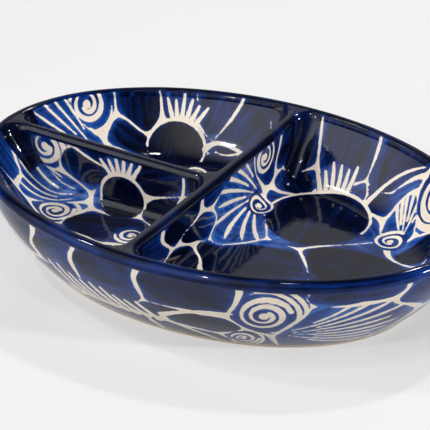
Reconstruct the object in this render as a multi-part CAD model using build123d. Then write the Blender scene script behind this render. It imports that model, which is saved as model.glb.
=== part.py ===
from build123d import *
import os

# Oval serving dish with three compartments, in millimetres.
# The origin is on the table under the middle of the dish, +X runs along its length and +Z is up.

# Overall size, over the rolled lip.
overall_length = 330.0
overall_width = 228.0
overall_height = 62.0

# Rolled lip: a round coil with a flat below, where it is pressed onto the wall.
lip_diameter = 9.5
lip_overhang = 2.0
lip_seat_drop = 2.5

# Wall and floor. A larger bulge keeps a wall upright for longer before it turns in to the floor.
wall_thickness = 6.3
wall_bulge_at_tips = 1.6
wall_bulge_at_sides = 2.0
floor_thickness = 11.0
floor_length = 256.0
floor_width = 168.0
floor_rounding = 22.0
cavity_bulge = 2.2
form_levels = 6

# Foot ring that the dish stands on.
foot_height = 9.5
foot_length = 253.0
foot_width = 171.0
foot_band = 9.0
foot_rounding = 1.5

# Divider slabs: one across the width, one from it to the tip of the oval on the -X side.
divider_thickness = 8.0
divider_crown_flat = 0.4
divider_end_drop = 1.0
divider_dip = 1.5
cross_divider_offset = -6.6
tee_lap = 1.5

# Soft clay coils worked to a bevel in the inside corners between the slabs and the bowl.
seam_bevel = 5.0

# Heights and half sizes that follow from the sizes above.
lip_radius = lip_diameter / 2
lip_z = overall_height - lip_radius
lip_half_length = overall_length / 2 - lip_radius
lip_half_width = overall_width / 2 - lip_radius
seat_z = lip_z - lip_seat_drop
floor_z = foot_height + floor_thickness
wall_half_length = overall_length / 2 - lip_overhang
wall_half_width = overall_width / 2 - lip_overhang
divider_end_z = overall_height - divider_end_drop
divider_mid_z = divider_end_z - divider_dip
divider_rounding = (divider_thickness - divider_crown_flat) / 2
seam_top_z = min(seat_z, divider_mid_z - divider_rounding)


def oval(z, half_length, half_width):
    # Half a turn puts the start of the outline at the -X tip, where the long divider covers it.
    return Pos(0, 0, z) * Rot(0, 0, 180) * Ellipse(half_length, half_width)


def bowl_form(low_z, high_z, low_halves, high_halves, bulges):
    # Solid drawn through ovals that widen quickly near the bottom and hardly at all near the top.
    ovals = []
    for level in range(form_levels):
        rise = level / (form_levels - 1)
        halves = [
            high - (high - low) * (1 - rise) ** bulge
            for low, high, bulge in zip(low_halves, high_halves, bulges)
        ]
        ovals.append(oval(low_z + rise * (high_z - low_z), *halves))
    return loft(ovals)


def make_outside():
    foot_halves = (foot_length / 2, foot_width / 2)
    top_halves = (wall_half_length, wall_half_width)
    bulges = (wall_bulge_at_tips, wall_bulge_at_sides)
    return bowl_form(0, seat_z, foot_halves, top_halves, bulges)


def make_cavity():
    floor_halves = (floor_length / 2, floor_width / 2)
    top_halves = (wall_half_length - wall_thickness, wall_half_width - wall_thickness)
    bulges = (cavity_bulge, cavity_bulge)
    form = bowl_form(floor_z, overall_height, floor_halves, top_halves, bulges)
    crease = form.edges().sort_by(Axis.Z)[0]
    return fillet(crease, floor_rounding)


def make_lip():
    path = Pos(0, 0, lip_z) * Edge.make_ellipse(lip_half_length, lip_half_width)
    below_seat = Pos(0, -lip_seat_drop - lip_radius) * Rectangle(lip_diameter, lip_diameter)
    section = Circle(lip_radius) - below_seat
    return sweep(Plane.XZ * Pos(lip_half_length, lip_z) * section, path=path)


def make_foot(outside):
    lower = split(outside, Plane.XY.offset(foot_height), keep=Keep.BOTTOM)
    recess_halves = (foot_length / 2 - foot_band, foot_width / 2 - foot_band)
    ring = lower - extrude(oval(0, *recess_halves), foot_height)
    return fillet(ring.edges().group_by(Axis.Z)[0], foot_rounding)


def make_shell(outside, cavity):
    upper = split(outside, Plane.XY.offset(foot_height), keep=Keep.TOP)
    return upper - cavity


def cross_side():
    # Side view of the cross divider: its crest sags a little between the lips.
    near_end = (-lip_half_width, divider_end_z)
    far_end = (lip_half_width, divider_end_z)
    crest = ThreePointArc(near_end, (0, divider_mid_z), far_end)
    below = Polyline(near_end, (-lip_half_width, floor_z), (lip_half_width, floor_z), far_end)
    view = Plane(origin=(cross_divider_offset, 0, 0), x_dir=(0, 1, 0), z_dir=(1, 0, 0))
    return view * make_face(crest + below)


def long_side():
    # Side view of the long divider: level where it laps onto the cross divider's rounded shoulder,
    # rising to the tip.
    tee_x = cross_divider_offset - divider_thickness / 2 + tee_lap
    tee = (tee_x, divider_mid_z)
    tip = (-lip_half_length, divider_end_z)
    crest = TangentArc(tee, tip, tangent=(-1, 0))
    below = Polyline(tee, (tee_x, floor_z), (-lip_half_length, floor_z), tip)
    return Plane.XZ * make_face(crest + below)


def slab(side):
    plate = extrude(side, divider_thickness / 2, both=True)
    crown = plate.edges().filter_by(GeomType.CIRCLE)
    return fillet(crown, divider_rounding)


def compartments(cavity):
    # Each compartment up to the top of its seam, with sharp corners against the slabs.
    right_x = cross_divider_offset + divider_thickness / 2
    left_x = cross_divider_offset - divider_thickness / 2
    face_y = divider_thickness / 2
    depth = seam_top_z - floor_z
    corner = (Align.MIN, Align.MIN, Align.MIN)
    small = Box(overall_length, overall_width, depth, align=corner)
    large = Box(overall_length, 2 * overall_width, depth, align=corner)
    return {
        "large": cavity & Pos(right_x, -overall_width, floor_z) * large,
        "far": cavity & Pos(left_x - overall_length, face_y, floor_z) * small,
        "near": cavity & Pos(left_x - overall_length, -face_y - overall_width, floor_z) * small,
    }


def seam_edges(compartment):
    # The corners along the upright slab faces, apart from the open top edges.
    upright = [
        face
        for face in compartment.faces().filter_by(GeomType.PLANE)
        if abs(face.normal_at().Z) < 0.5
    ]
    edges = ShapeList()
    for face in upright:
        edges += face.edges().sort_by(Axis.Z)[:-1]
    return edges


def make_seam(compartment):
    # The clay that bevels a compartment's corners is what the bevel takes out of its space.
    return compartment - chamfer(seam_edges(compartment), seam_bevel)


outside = make_outside()
cavity = make_cavity()
lip = make_lip()
cross_divider = (slab(cross_side()) & cavity) - lip
long_divider = (slab(long_side()) & cavity) - lip - cross_divider

nodes = {
    "bowl_shell": make_shell(outside, cavity),
    "lip_roll": lip,
    "foot_ring": make_foot(outside),
    "cross_divider": cross_divider,
    "long_divider": long_divider,
}
for place, compartment in compartments(cavity).items():
    nodes[f"seam_coil_{place}"] = make_seam(compartment)

os.makedirs("parts", exist_ok=True)
for name, solid in nodes.items():
    export_step(solid, f"parts/{name}.step")
    print(name, round(solid.volume), "mm3")
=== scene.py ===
import bmesh
import bpy
import math
import numpy as np
from mathutils import Euler, Matrix, Vector


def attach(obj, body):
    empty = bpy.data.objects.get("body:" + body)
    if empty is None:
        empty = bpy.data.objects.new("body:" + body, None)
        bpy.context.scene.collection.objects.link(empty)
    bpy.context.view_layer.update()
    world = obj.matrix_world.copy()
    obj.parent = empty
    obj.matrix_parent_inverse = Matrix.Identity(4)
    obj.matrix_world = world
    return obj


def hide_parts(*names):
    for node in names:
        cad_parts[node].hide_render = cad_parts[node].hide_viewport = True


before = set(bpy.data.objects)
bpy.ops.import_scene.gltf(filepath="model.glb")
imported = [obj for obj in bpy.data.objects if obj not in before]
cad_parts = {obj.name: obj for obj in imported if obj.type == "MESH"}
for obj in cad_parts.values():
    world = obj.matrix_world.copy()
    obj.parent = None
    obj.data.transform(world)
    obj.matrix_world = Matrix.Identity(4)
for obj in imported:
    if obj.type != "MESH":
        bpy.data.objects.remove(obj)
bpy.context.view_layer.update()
mm = 0.001
quarter = math.pi / 2
scene = bpy.context.scene
scene.view_settings.view_transform = "Standard"
print("frame loaded with", len(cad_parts), "solids")


def smooth(low, high, value):
    t = np.clip((value - low) / (high - low), 0.0, 1.0)
    return t * t * (3 - 2 * t)


def runLength(*steps):
    # distance along a line of points, from their steps along each axis
    return np.concatenate([[0], np.cumsum(np.hypot(*steps))])


bowl = {  # millimetres, z up from the table
    "floorZ": 20.5, "floorHalf": (129.7, 85.4),
    "brimZ": 62.0, "brimHalf": (158.4, 106.9), "insideBulge": 1.2,
    "cornerShare": 0.50,  # how much of the wall's spread the rounded floor corner takes
    "meanSpread": 25.0,  # how far the wall spreads from the floor to the brim, about
    "footHalf": (126.5, 85.5), "footTop": 9.5,
    "seatZ": 54.75, "seatHalf": (163.0, 112.0), "outsideBulge": (1.6, 2.0),
    "tuck": 3.0,  # thickness of the wall's top edge, which the lip hides
    "insideGrid": 1.05, "outsideGrid": 1.3, "undersideGrid": 3.0, "fewestPoints": 12,
    "creaseAngle": 40,  # degrees, edges sharper than this stay crisp
}
samples = {"corner": 60, "wall": 240, "outside": 800, "strip": 300, "oval": 4001}  # points on each curve


def insideProfile():
    # spread 0 is the floor's edge and 1 the brim; the corner between them is a smooth cubic
    high = bowl["brimZ"] - bowl["floorZ"]
    share, bulge = bowl["cornerShare"], bowl["insideBulge"]
    rise = np.linspace(1 - (1 - share) ** (1 / bulge), 1.0, samples["wall"])
    wallSpread = 1 - (1 - rise) ** bulge
    slope = high / bulge * (1 - share) ** (1 / bulge - 1) * 2 * share
    u = np.linspace(0, 1, samples["corner"])[:-1]
    cornerHigh = rise[0] * high * (3 * u**2 - 2 * u**3) + slope * (u**3 - u**2)
    spread = np.concatenate([share * (2 * u - 1), wallSpread])
    height = np.concatenate([cornerHigh, rise * high])
    length = runLength(np.diff(spread) * bowl["meanSpread"], np.diff(height))
    return spread, height, length, length - bowl["meanSpread"] * (spread - spread[0])


profSpread, profHeight, profLength, profExtra = insideProfile()


def insideHalf(spread):
    (fa, fb), (ta, tb) = bowl["floorHalf"], bowl["brimHalf"]
    return fa + (ta - fa) * spread, fb + (tb - fb) * spread


def insideHalfAt(z):
    return insideHalf(np.interp(z - bowl["floorZ"], profHeight, profSpread))


def insideFlat(points):
    # unrolls the bowl's inside onto the plane of its floor
    height = points[:, 2] - bowl["floorZ"]
    a, b = insideHalf(np.interp(height, profHeight, profSpread))
    turn = np.arctan2(points[:, 1] / b, points[:, 0] / a)
    floorA, floorB = bowl["floorHalf"]
    away = np.stack([np.cos(turn) / floorA, np.sin(turn) / floorB], 1)
    away /= np.linalg.norm(away, axis=1)[:, None]
    extra = np.interp(height, profHeight, profExtra) * (height > 1e-6)
    return points[:, :2] + away * extra[:, None]


def outsideHalfAt(z):
    rise = np.clip(z / bowl["seatZ"], 0, 1)
    (fa, fb), (ta, tb), (ba, bb) = bowl["footHalf"], bowl["seatHalf"], bowl["outsideBulge"]
    return ta - (ta - fa) * (1 - rise) ** ba, tb - (tb - fb) * (1 - rise) ** bb


def evenTurns():
    # angles at even steps along an oval of the dish's proportions
    t = np.linspace(0, 2 * math.pi, samples["oval"])
    a, b = bowl["brimHalf"]
    run = runLength(np.diff(a * np.cos(t)), np.diff(b * np.sin(t)))
    return run / run[-1], t


turnShare, turnAngle = evenTurns()


def ovalLength(a, b):
    h = ((a - b) / (a + b)) ** 2
    return math.pi * (a + b) * (1 + 3 * h / (10 + math.sqrt(4 - 3 * h)))


def ringAngles(count):
    return np.interp(np.arange(count) / count, turnShare, turnAngle)


def zipRings(faces, first, firstCount, second, secondCount):
    # triangles between two rings that may differ in their number of points
    i = j = 0
    while i < firstCount or j < secondCount:
        a, b = first + i % firstCount, second + j % secondCount
        if j == secondCount or (i < firstCount and (i + 1) * secondCount <= (j + 1) * firstCount):
            faces.append((a, first + (i + 1) % firstCount, b))
            i += 1
        else:
            faces.append((a, second + (j + 1) % secondCount, b))
            j += 1


def paintMesh(mesh, values):
    for key, value in values.items():
        kind, field = ("FLOAT", "value") if value.ndim == 1 else ("FLOAT_VECTOR", "vector")
        layer = mesh.attributes.new(key, kind, "POINT")
        layer.data.foreach_set(field, value.astype(np.float32).ravel())


def makePiece(name, points, faces, values):
    mesh = bpy.data.meshes.new(name)
    mesh.from_pydata((np.asarray(points) * mm).tolist(), [], faces)
    paintMesh(mesh, values)
    work = bmesh.new()
    work.from_mesh(mesh)
    bmesh.ops.recalc_face_normals(work, faces=work.faces)
    work.to_mesh(mesh)
    work.free()
    mesh.shade_smooth()
    mesh.set_sharp_from_angle(angle=math.radians(bowl["creaseAngle"]))
    obj = bpy.data.objects.new(name, mesh)
    scene.collection.objects.link(obj)
    print(name, len(mesh.vertices), "points", len(mesh.polygons), "faces")
    return obj


def makeRings(rings):
    # rings: list of (halfX, halfY, z, grid); a ring of no size is a single point
    points, faces, starts, counts = [], [], [], []
    total = 0
    for a, b, z, grid in rings:
        count = 1 if a <= 0 else max(bowl["fewestPoints"], round(ovalLength(a, b) / grid))
        angle = ringAngles(count)
        points.append(np.stack([a * np.cos(angle), b * np.sin(angle), np.full(count, z)], 1))
        starts.append(total)
        counts.append(count)
        total += count
    for k in range(len(rings) - 1):
        s0, n0, s1, n1 = starts[k], counts[k], starts[k + 1], counts[k + 1]
        if n0 == 1:
            faces += [(s0, s1 + i, s1 + (i + 1) % n1) for i in range(n1)]
        elif n1 == 1:
            faces += [(s1, s0 + (i + 1) % n0, s0 + i) for i in range(n0)]
        else:
            zipRings(faces, s0, n0, s1, n1)
    return np.concatenate(points), faces, np.repeat(np.arange(len(rings)), counts)


def buildShell():
    # rings from the middle of the floor up the wall, over its edge, down the outside and under
    floorZ, grid = bowl["floorZ"], bowl["insideGrid"]
    edgeA, edgeB = insideHalf(profSpread[0])
    rings = [(0, 0, floorZ, grid)]
    floorSteps = round((edgeA + edgeB) / 2 / grid)
    for k in range(1, floorSteps + 1):
        rings.append((edgeA * k / floorSteps, edgeB * k / floorSteps, floorZ, grid))
    topLength = np.interp(lip["z"] - floorZ, profHeight, profLength)
    for length in np.linspace(0, topLength, round(topLength / grid) + 1)[1:]:
        a, b = insideHalf(np.interp(length, profLength, profSpread))
        rings.append((a, b, floorZ + np.interp(length, profLength, profHeight), grid))
    insideCount = len(rings)
    topA, topB = rings[-1][:2]
    grid = bowl["outsideGrid"]
    rings.append((topA + bowl["tuck"], topB + bowl["tuck"], lip["z"], grid))
    z = np.linspace(bowl["seatZ"], bowl["footTop"], samples["outside"])
    a, b = outsideHalfAt(z)
    length = runLength(np.diff((a + b) / 2), np.diff(z))
    for at in np.linspace(0, length[-1], round(length[-1] / grid) + 1):
        rings.append((*(np.interp(at, length, line) for line in (a, b, z)), grid))
    outsideCount = len(rings)
    lowA, lowB = rings[-1][:2]
    grid = bowl["undersideGrid"]
    for share in np.linspace(1, 0, round(lowB / grid))[1:]:
        rings.append((lowA * share, lowB * share, bowl["footTop"], grid))
    points, faces, ring = makeRings(rings)
    zone = np.where(ring < insideCount, 0, np.where(ring < outsideCount, 1, 2))
    return points, faces, zone


footShape = {"band": 9.0, "round": 1.5, "grid": 1.3, "sideSteps": 8, "roundSteps": 6}


def buildFoot():
    # rings down the outside, round the bottom of the band and up its inside
    r, grid = footShape["round"], footShape["grid"]
    turns = np.linspace(0, quarter, footShape["roundSteps"])
    rings = [(*outsideHalfAt(z), z, grid) for z in np.linspace(bowl["footTop"], r, footShape["sideSteps"])]
    baseA, baseB = outsideHalfAt(0.0)
    sideA, sideB = rings[-1][:2]
    for turn in turns[1:]:
        out = math.cos(turn)
        a, b = baseA - r + (sideA - baseA + r) * out, baseB - r + (sideB - baseB + r) * out
        rings.append((a, b, r - r * math.sin(turn), grid))
    inA, inB = (half - footShape["band"] for half in bowl["footHalf"])
    for turn in turns:
        out = r * (1 - math.sin(turn))
        rings.append((inA + out, inB + out, r - r * math.cos(turn), grid))
    rings.append((inA, inB, bowl["footTop"], grid))
    points, faces, ring = makeRings(rings)
    lastCount = (ring == ring.max()).sum()
    zipRings(faces, len(points) - lastCount, lastCount, 0, (ring == 0).sum())
    return points, faces


slab = {  # the two dividers
    "crossX": -6.6, "halfThick": 4.0, "crownRound": 3.8, "crownSteps": 9, "rows": 36, "grid": 1.05,
    "midZ": 59.5, "endZ": 61.0,  # the crest sags between its ends
    "lipRise": 0.6, "riseFrom": 0.9,  # and rises into the lip over the last tenth
    "bed": 0.4, "offMiddle": 1.0,  # depth in the floor, and where the long one starts inside the cross one
    "sink": 0.6, "sinkMore": 2.4, "sinkFrom": 50.0, "sinkTo": 57.0,  # how deep in the wall, more at the lip
}
crownTurns = np.linspace(0, quarter, slab["crownSteps"])[1:]


def crestZ(share):
    rise = (slab["endZ"] - slab["midZ"]) * share**2
    return slab["midZ"] + rise + slab["lipRise"] * float(smooth(slab["riseFrom"], 1.0, share))


def crownHeights(crest):
    return crest - slab["crownRound"] + slab["crownRound"] * np.sin(crownTurns)


def gridFaces(rows, columns):
    # quads between rows of points, where each row is a closed loop
    faces = []
    for row in range(rows - 1):
        low, high = row * columns, (row + 1) * columns
        for c in range(columns):
            d = (c + 1) % columns
            faces.append((low + c, low + d, high + d, high + c))
    return faces


def capRing(points, faces, indices):
    points.append(np.mean([points[i] for i in indices], 0))
    middle = len(points) - 1
    faces += [(indices[k], indices[(k + 1) % len(indices)], middle) for k in range(len(indices))]


def slabSection(crest):
    # half of the section, from the bottom up: across, height
    r, t = slab["crownRound"], slab["halfThick"]
    rise = np.linspace(bowl["floorZ"] - slab["bed"], crest - r, slab["rows"])
    across = np.concatenate([np.full(len(rise), t), t - r + r * np.cos(crownTurns)])
    return across, np.concatenate([rise, crownHeights(crest)])


def slabEnd(z, half):
    return half + slab["sink"] + slab["sinkMore"] * smooth(slab["sinkFrom"], slab["sinkTo"], z)


def buildSlab(along, placeAt):
    # along: shares of the run; placeAt(share, across, z) gives a point
    points, info = [], []
    for share in along:
        crest = crestZ(abs(share))
        across, height = slabSection(crest)
        across = np.concatenate([-across, across[::-1]])
        height = np.concatenate([height, height[::-1]])
        for x, z in zip(across, height):
            points.append(placeAt(share, x, z))
            info.append((x, z - crest))
    columns = len(points) // len(along)
    faces = gridFaces(len(along), columns)
    capRing(points, faces, list(range(columns)))
    capRing(points, faces, [(len(along) - 1) * columns + c for c in range(columns)])
    info += [(0.0, -slab["crownRound"])] * 2
    return np.array(points), faces, np.array(info)


def crossPoint(share, across, z):
    half = insideHalfAt(z)[1]
    return np.array([slab["crossX"] + across, share * slabEnd(z, half), z])


def longPoint(share, across, z):
    half = insideHalfAt(z)[0]
    start = slab["crossX"] - slab["offMiddle"]
    return np.array([start + share * (-slabEnd(z, half) - start), across, z])


def buildCross():
    half = bowl["brimHalf"][1]
    return buildSlab(np.linspace(-1, 1, round(2 * half / slab["grid"]) + 1), crossPoint)


def buildLong():
    run = bowl["brimHalf"][0] + slab["crossX"]
    return buildSlab(np.linspace(0, 1, round(run / slab["grid"]) + 1), longPoint)


seam = {  # the soft clay worked into the corners
    "radius": 8.0, "radiusAtLip": 13.0, "widenFrom": 35.0, "widenTo": 57.0,  # widens between these heights
    "teeRadius": 9.0, "teeSteps": 13, "postSteps": 26, "postSink": 1.0,  # where the two dividers meet
    "arcSteps": 12, "step": 1.2, "slopeStep": 0.2,
    "bury": 1.2, "midGap": 0.05,  # depth of its hidden corner, and the least distance from a slab's middle
    "levelFrom": 30.0, "levelTo": 52.0,  # its section turns level between these heights
    "dipFrom": 48.0, "dipTo": 58.0,  # and follows the crest's sag between these
    "floorShare": (0.997, 0.995),  # the floor stretch ends just short of the wall's first station
    "postPlain": 20.0,  # added to a post's height, so that it is painted plain
}


def wallCurve(offset, height, side, alongX):
    # point and inward normal on the bowl's inside, in the upright plane at that offset from the middle
    def reach(length):
        a, b = insideHalf(np.interp(length, profLength, profSpread))
        return a * math.sqrt(1 - (offset / b) ** 2) if alongX else b * math.sqrt(1 - (offset / a) ** 2)
    at = np.interp(height, profHeight, profLength)
    low, high = max(at - seam["slopeStep"], 0.0), min(at + seam["slopeStep"], profLength[-1])
    out = reach(high) - reach(low)
    up = np.interp(high, profLength, profHeight) - np.interp(low, profLength, profHeight)
    z = bowl["floorZ"] + height
    lean = out / math.hypot(out, up) * (1 - float(smooth(seam["levelFrom"], seam["levelTo"], z)))
    return side * reach(at), z, (-side * math.sqrt(1 - lean * lean), lean)


def seamStation(kind, where, side, face, into):
    # a function that turns (distance from the slab's face, distance from the bowl) into a point
    floorZ, tee = bowl["floorZ"], seam["teeRadius"]

    def place(x, n):
        byCross, byLong = face[0] + into[0] * x, face[1] + into[1] * x
        if kind == "crossWall":
            y, z, normal = wallCurve(byCross, where, side, False)
            return byCross, y + n * normal[0], z + n * normal[1]
        if kind == "crossFloor":
            return byCross, where, floorZ + n
        if kind == "tee":
            alongX, alongY = into[0] * (tee - x) * math.cos(where), into[1] * (tee - x) * math.sin(where)
            return face[0] + into[0] * tee - alongX, face[1] + into[1] * tee - alongY, floorZ + n
        if kind == "longFloor":
            return where, byLong, floorZ + n
        tipX, z, normal = wallCurve(byLong, where, side, True)
        return tipX + n * normal[0], byLong, z + n * normal[1]
    return place


def seamRadius(z):
    # the fillet widens towards the lip
    more = seam["radiusAtLip"] - seam["radius"]
    return seam["radius"] + more * smooth(seam["widenFrom"], seam["widenTo"], z)


def evenly(start, end):
    return np.linspace(start, end, max(2, round(abs(end - start) / seam["step"]) + 1))


def wallStops():
    # heights over the floor up to the crest, closer together where the crest turns
    top = slab["endZ"] + slab["lipRise"] - bowl["floorZ"]
    low = np.interp(top - slab["crownRound"], profHeight, profLength)
    return [*np.interp(evenly(0, low), profLength, profHeight), *crownHeights(top)]


def drawBack(z, crest):
    # how far an upright face has drawn back at that height, in step with a rounded crest
    drop = np.clip((z - crest + slab["crownRound"]) / slab["crownRound"], 0, 1)
    return slab["crownRound"] * (1 - math.sqrt(1 - drop * drop))


def seamArc(back, radius):
    turn = np.linspace(0, quarter, seam["arcSteps"] + 1)
    return radius - (radius + back) * np.cos(turn), radius - (radius + back) * np.sin(turn)


def lipBulge(z, axis):
    # how far the lip stands in from the wall at that height
    if z <= bowl["seatZ"] - lip["below"]:
        return 0.0
    rise = np.clip(z - lip["z"], -lip["radius"], lip["radius"])
    roll = lip["innerShare"] * math.sqrt(lip["radius"] ** 2 - rise**2)
    return max(0.0, insideHalfAt(z)[axis] - lip["half"][axis] + roll)


def crestDip(point, kind):
    # how much lower the crest is above that point than at the lip
    if kind == "crossWall":
        share = abs(point[1]) / slabEnd(point[2], bowl["brimHalf"][1])
    else:
        start = slab["crossX"] - slab["offMiddle"]
        share = (point[0] - start) / (-slabEnd(point[2], bowl["brimHalf"][0]) - start)
    return crestZ(1.0) - crestZ(min(share, 1.0))


def seamCap(start):
    corner = start + seam["arcSteps"] + 1
    return [(corner, start + k, start + k + 1) for k in range(seam["arcSteps"])]


def hiddenCorner(back):
    # the section's corner, inside the slab and the wall, never past the middle of the slab
    return -min(seam["bury"] + back, slab["halfThick"] - seam["midGap"])


def buildSeam(stations):
    points, unfolded, heights = [], [], []
    steps = seam["arcSteps"]
    for kind, where, side, face, into in stations:
        place = seamStation(kind, where, side, face, into)
        onWall = kind in ("crossWall", "tipWall")
        z = bowl["floorZ"] + (where if onWall else 0.0)
        back = drawBack(z, slab["endZ"] + slab["lipRise"])
        xs, ns = seamArc(back, float(seamRadius(z)))
        if onWall:
            bulge = lipBulge(z, 0 if kind == "tipWall" else 1)
            ns = ns + bulge * np.linspace(0, 1, steps + 1) ** 2
        xs, ns = np.append(xs, hiddenCorner(back)), np.append(ns, hiddenCorner(back))
        for k, (x, n) in enumerate(zip(xs, ns)):
            point = np.array(place(x, n))
            if onWall:
                point[2] -= crestDip(point, kind) * float(smooth(seam["dipFrom"], seam["dipTo"], z))
            points.append(point)
            share = min(k / steps, 1.0)
            flat = seam["radius"] * (1 - quarter * (1 - share))  # distance from the slab when unrolled
            onBowl = np.array(place(flat, 0.0))
            unfolded.append(insideFlat(onBowl[None])[0] if onWall else onBowl[:2])
            heights.append(z - bowl["floorZ"])
    columns = steps + 2
    faces = gridFaces(len(stations), columns)
    for row in (0, len(stations) - 1):
        faces += seamCap(row * columns)
    return points, faces, unfolded, heights


def teePost(points, faces, unfolded, heights, face, into):
    # the upright rounded corner where the two slabs meet
    r, steps = seam["teeRadius"], seam["arcSteps"]
    first = len(points)
    crest = slab["midZ"]
    low = bowl["floorZ"] + seam["radius"] - seam["postSink"]
    levels = [*np.linspace(low, crest - slab["crownRound"], seam["postSteps"]), *crownHeights(crest)]
    cx, cy = face[0] + into[0] * r, face[1] + into[1] * r
    for z in levels:
        back = drawBack(z, crest)
        for turn in np.linspace(0, quarter, steps + 1):
            x, y = cx - into[0] * (r + back) * math.cos(turn), cy - into[1] * (r + back) * math.sin(turn)
            points.append(np.array((x, y, z)))
        corner = hiddenCorner(back)
        points.append(np.array((face[0] + into[0] * corner, face[1] + into[1] * corner, z)))
    columns = steps + 2
    faces += [tuple(first + i for i in quad) for quad in gridFaces(len(levels), columns)]
    for row in (0, len(levels) - 1):
        faces += seamCap(first + row * columns)
    unfolded += [point[:2] for point in points[first:]]
    heights += [point[2] - bowl["floorZ"] + seam["postPlain"] for point in points[first:]]


def floorEdges():
    return [half * share for half, share in zip(insideHalf(profSpread[0]), seam["floorShare"])]


def largeSeam():
    face, into = (slab["crossX"] + slab["halfThick"], 0.0), (1.0, 0.0)
    edge = floorEdges()[1]
    stops = wallStops()
    stations = [("crossWall", up, 1, face, into) for up in stops[::-1]]
    stations += [("crossFloor", y, 0, face, into) for y in evenly(edge, -edge)[1:-1]]
    stations += [("crossWall", up, -1, face, into) for up in stops]
    return buildSeam(stations)


def smallSeam(side):
    face, into = (slab["crossX"] - slab["halfThick"], side * slab["halfThick"]), (-1.0, side)
    edgeX, edgeY = floorEdges()
    stops, tee = wallStops(), seam["teeRadius"]
    crossRun = evenly(side * edgeY, face[1] + side * tee)[1:]
    teeRun = np.linspace(0, quarter, seam["teeSteps"])[1:-1]
    longRun = evenly(face[0] - tee, -edgeX)[:-1]
    stations = [("crossWall", up, side, face, into) for up in stops[::-1]]
    for kind, run in (("crossFloor", crossRun), ("tee", teeRun), ("longFloor", longRun)):
        stations += [(kind, at, 0, face, into) for at in run]
    stations += [("tipWall", up, -1, face, into) for up in stops]
    points, faces, unfolded, heights = buildSeam(stations)
    teePost(points, faces, unfolded, heights, face, into)
    return points, faces, unfolded, heights


def mixNode(tree, a, b, factor):
    node = tree.nodes.new("ShaderNodeMix")
    node.data_type = "RGBA"
    tree.links.new(factor, node.inputs[0])
    tree.links.new(a, node.inputs[6])
    tree.links.new(b, node.inputs[7])
    return node.outputs[2]


def mathNode(tree, operation, a, b=None):
    node = tree.nodes.new("ShaderNodeMath")
    node.operation = operation
    for slot, value in zip(node.inputs, (a, b)):
        if isinstance(value, bpy.types.NodeSocket):
            tree.links.new(value, slot)
        elif value is not None:
            slot.default_value = value
    return node.outputs[0]


def swingNode(tree, value, amount):
    # a 0 to 1 noise turned into plus or minus half the amount
    return mathNode(tree, "MULTIPLY", mathNode(tree, "SUBTRACT", value, 0.5), amount)


def noiseNode(tree, vector, scale, detail=2.0, roughness=0.5):
    node = tree.nodes.new("ShaderNodeTexNoise")
    node.inputs["Scale"].default_value = scale
    node.inputs["Detail"].default_value = detail
    node.inputs["Roughness"].default_value = roughness
    tree.links.new(vector, node.inputs["Vector"])
    return node.outputs[0]


def rampNode(tree, value, stops):
    node = tree.nodes.new("ShaderNodeValToRGB")
    ramp = node.color_ramp
    while len(ramp.elements) < len(stops):
        ramp.elements.new(0.5)
    for element, (place, color) in zip(ramp.elements, stops):
        element.position = place
        element.color = (*color, 1)
    tree.links.new(value, node.inputs[0])
    return node.outputs[0]


def rangeNode(tree, value, low, high, to0=0.0, to1=1.0):
    node = tree.nodes.new("ShaderNodeMapRange")
    node.interpolation_type = "SMOOTHSTEP"
    for slot, number in zip(("From Min", "From Max", "To Min", "To Max"), (low, high, to0, to1)):
        node.inputs[slot].default_value = number
    tree.links.new(value, node.inputs["Value"])
    return node.outputs["Result"]


lip = {
    "half": (160.25, 109.25), "z": 57.25, "radius": 4.75, "seatDrop": 2.5,
    "innerShare": 0.84, "below": 2.0,  # its inner side is pressed flush with the wall, from below the seat
    "waver": 0.35, "waverScale": 22.0, "waverDetail": 1.0, "pathSteps": 720, "rollSteps": 40,
}


def lipSizes():
    return {"halfLength": lip["half"][0], "halfWidth": lip["half"][1], "height": lip["z"],
            "rollRadius": lip["radius"], "seatDrop": lip["seatDrop"], "waver": lip["waver"]}


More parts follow.
